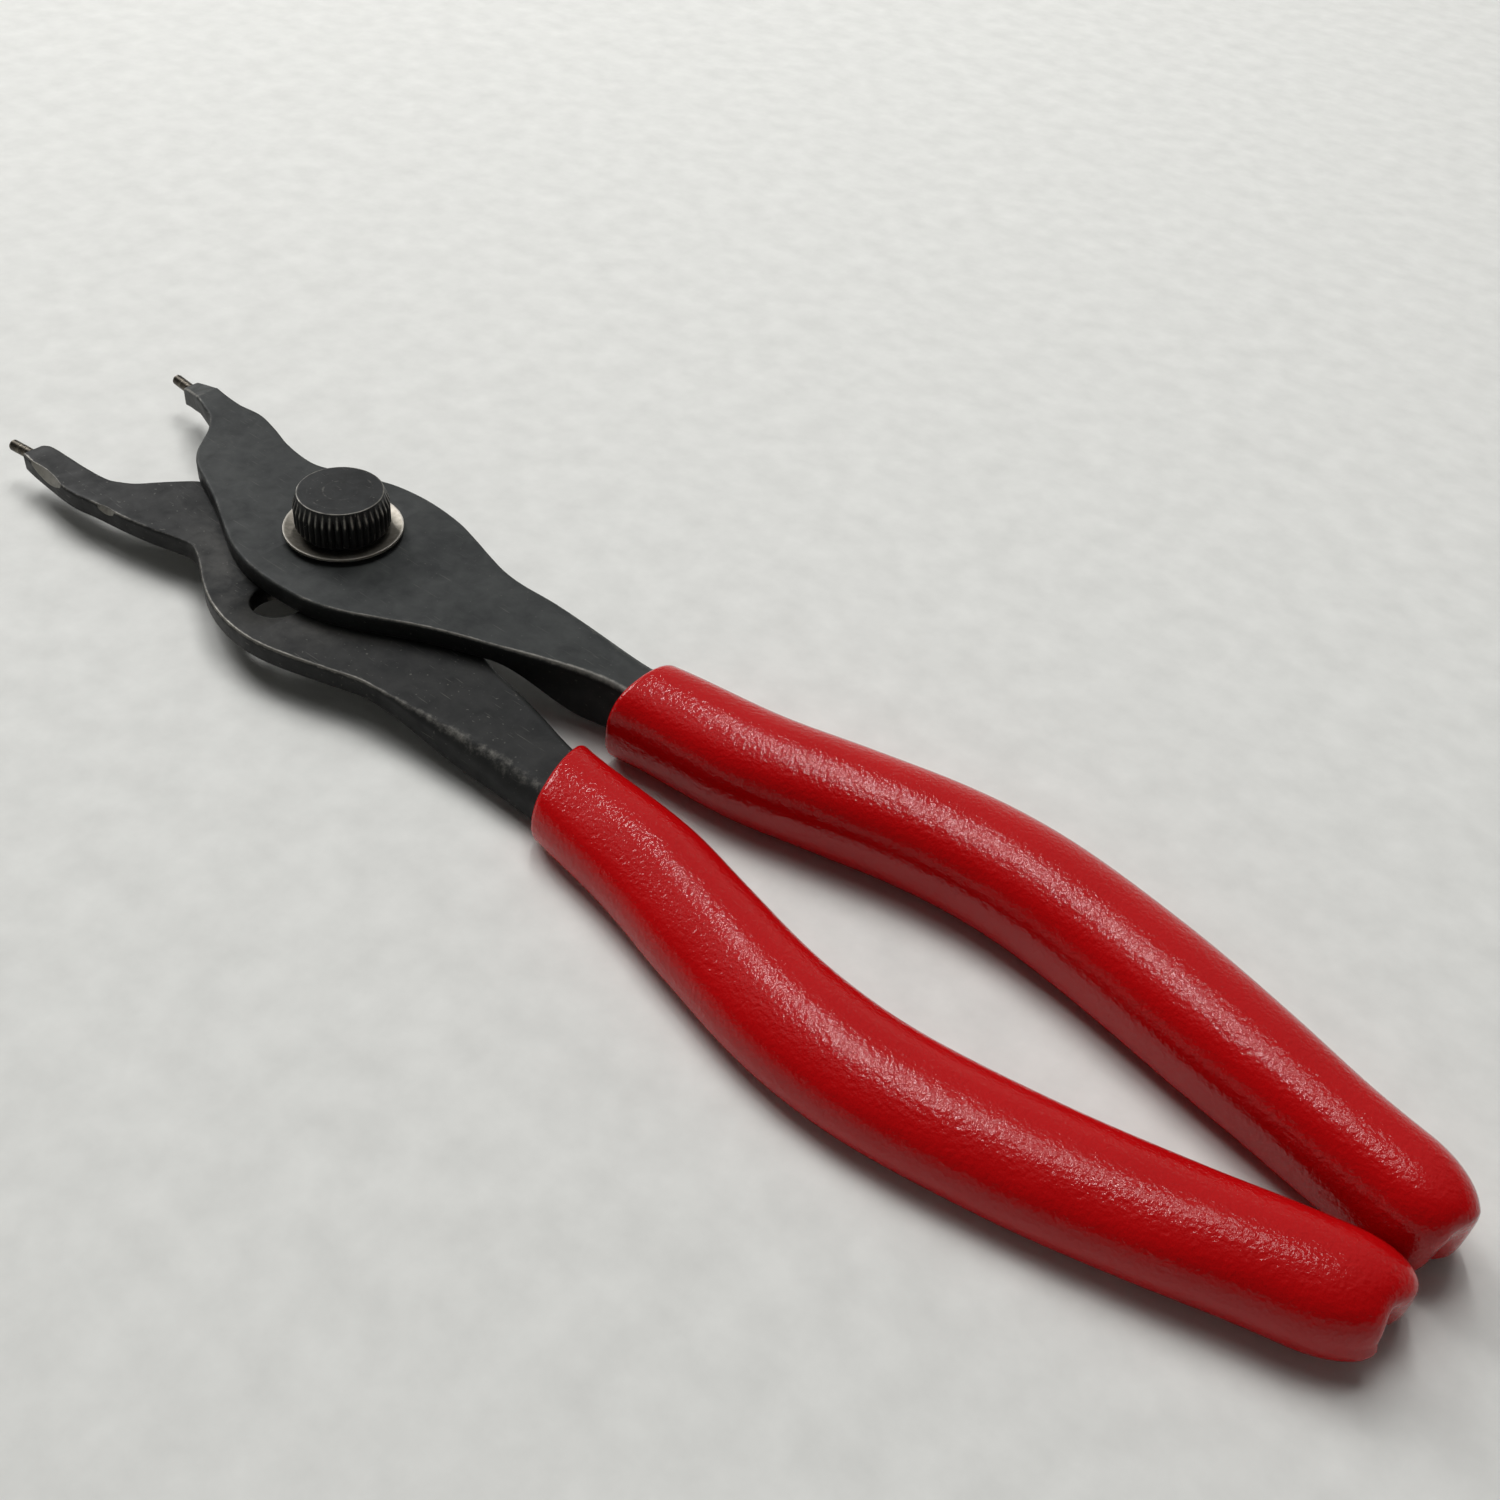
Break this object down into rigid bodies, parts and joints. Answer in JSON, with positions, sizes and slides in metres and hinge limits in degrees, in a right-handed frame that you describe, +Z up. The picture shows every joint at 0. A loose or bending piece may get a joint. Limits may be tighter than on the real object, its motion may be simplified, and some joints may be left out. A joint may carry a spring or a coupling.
{
  "type": "circlip pliers",
  "caption": "Convertible circlip pliers: flat stamped arms on a thumb-nut pivot, jaws with hardened tip pins, folded channel handles in dipped vinyl grips.",
  "frame": {"origin": "on the pivot axis, at the stud's flat back face, which lies on the table plane", "axes": "+X from the pivot to the handles, +Y to the side of the upper arm, +Z up along the pivot axis"},
  "size_m": [0.2271, 0.0519, 0.0171],
  "materials": {
    "arm_steel": "black oxide, semi-matt, bare along worn edges",
    "grip_vinyl": "dipped vinyl, satin gloss, finely pebbled",
    "tip_steel": "bare hardened steel",
    "pivot_steel": "black oxide, worn on the chamfer",
    "washer_steel": "worn spring steel"
  },
  "bodies": {
    "upper": {"upper_arm": "arm_steel", "upper_grip": "grip_vinyl", "upper_tip_pin": "tip_steel", "dished_washer": "washer_steel"},
    "lower": {"lower_arm": "arm_steel", "lower_grip": "grip_vinyl", "lower_tip_pin": "tip_steel"},
    "nut": {"thumb_nut": "pivot_steel"},
    "stud": {"pivot_stud": "pivot_steel"}
  },
  "joints": [
    {"name": "plier_hinge", "type": "hinge", "parent": "upper", "child": "lower", "pos_m": [0, 0, 0.0055], "axis": [0, 0, -1], "range_deg": [0, 24]},
    {"name": "nut_turn", "type": "hinge", "parent": "upper", "child": "nut", "pos_m": [0, 0, 0.014], "axis": [0, 0, 1], "range_deg": [0, 720]},
    {"name": "stud_drop", "type": "slide", "parent": "upper", "child": "stud", "axis": [0, 0, -1], "range_m": [0, 0.0016]}
  ],
  "couplings": [
    {"joint": "nut_turn", "follows": "stud_drop", "rad_per_m": 7854}
  ]
}
